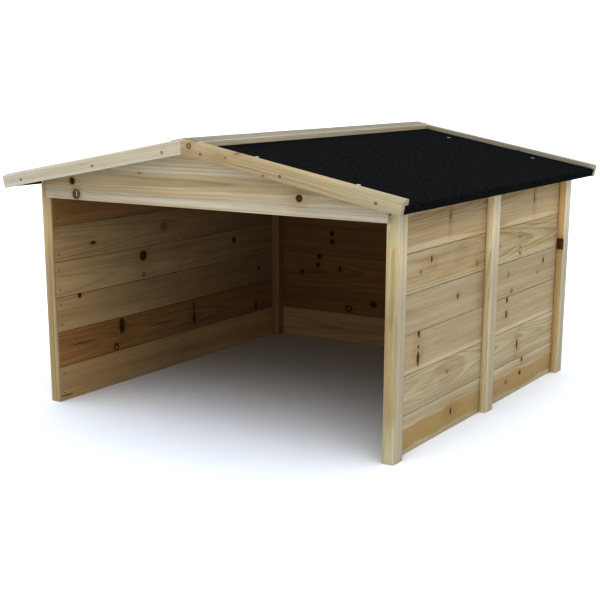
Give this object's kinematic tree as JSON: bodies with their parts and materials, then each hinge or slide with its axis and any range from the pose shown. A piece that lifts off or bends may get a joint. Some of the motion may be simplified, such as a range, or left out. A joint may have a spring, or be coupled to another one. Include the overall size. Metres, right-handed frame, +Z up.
{
  "type": "robotic mower garage",
  "caption": "Open-fronted timber garage for a robotic lawn mower, with boarded sides and back and a low felted gable roof trimmed with barge boards.",
  "frame": {"origin": "on the ground, below the centre of the roof outline", "axes": "+X to the right seen from the front, +Y from the open front to the back, +Z up"},
  "size_m": [0.854, 0.905, 0.533],
  "materials": {
    "pale_pine": "planed, untreated",
    "warm_pine": "planed, untreated",
    "red_pine": "planed, untreated heartwood",
    "roof_felt": "mineral granules",
    "zinc_steel": "galvanised",
    "dark_screw": "dull zinc"
  },
  "bodies": {
    "root": {"left_wall_board_1": "pale_pine", "left_wall_board_2": "red_pine", "left_wall_board_3": "pale_pine", "left_wall_board_4": "pale_pine", "left_wall_board_5": "pale_pine", "left_wall_board_6": "pale_pine", "right_wall_board_1": "warm_pine", "right_wall_board_2": "warm_pine", "right_wall_board_3": "pale_pine", "right_wall_board_4": "pale_pine", "right_wall_board_5": "pale_pine", "right_wall_board_6": "pale_pine", "rear_wall_board_1": "pale_pine", "rear_wall_board_2": "red_pine", "rear_wall_board_3": "pale_pine", "rear_wall_board_4": "pale_pine", "rear_wall_board_5": "pale_pine", "rear_wall_board_6": "pale_pine", "left_front_post": "pale_pine", "left_middle_post": "pale_pine", "left_rear_post": "pale_pine", "right_front_post": "pale_pine", "right_middle_post": "pale_pine", "right_rear_post": "pale_pine", "rear_middle_post": "pale_pine", "left_corner_batten": "warm_pine", "right_corner_batten": "warm_pine", "front_gable_board": "pale_pine", "rear_gable_board": "pale_pine", "left_eaves_rail": "warm_pine", "right_eaves_rail": "warm_pine", "left_front_rafter": "warm_pine", "left_rear_rafter": "warm_pine", "right_front_rafter": "warm_pine", "right_rear_rafter": "warm_pine", "left_roof_board_1": "pale_pine", "left_roof_board_2": "pale_pine", "left_roof_board_3": "pale_pine", "left_roof_board_4": "pale_pine", "left_roof_board_5": "pale_pine", "left_roof_board_6": "pale_pine", "right_roof_board_1": "pale_pine", "right_roof_board_2": "pale_pine", "right_roof_board_3": "pale_pine", "right_roof_board_4": "pale_pine", "right_roof_board_5": "pale_pine", "right_roof_board_6": "pale_pine", "left_roof_felt": "roof_felt", "right_roof_felt": "roof_felt", "left_front_barge_board": "pale_pine", "right_front_barge_board": "warm_pine", "left_rear_barge_board": "pale_pine", "right_rear_barge_board": "pale_pine", "left_ridge_board": "pale_pine", "right_ridge_board": "pale_pine", "wall_nails": "zinc_steel", "corner_screws": "zinc_steel", "gable_screws": "zinc_steel", "barge_screws": "dark_screw", "felt_nails": "zinc_steel"}
  },
  "joints": []
}
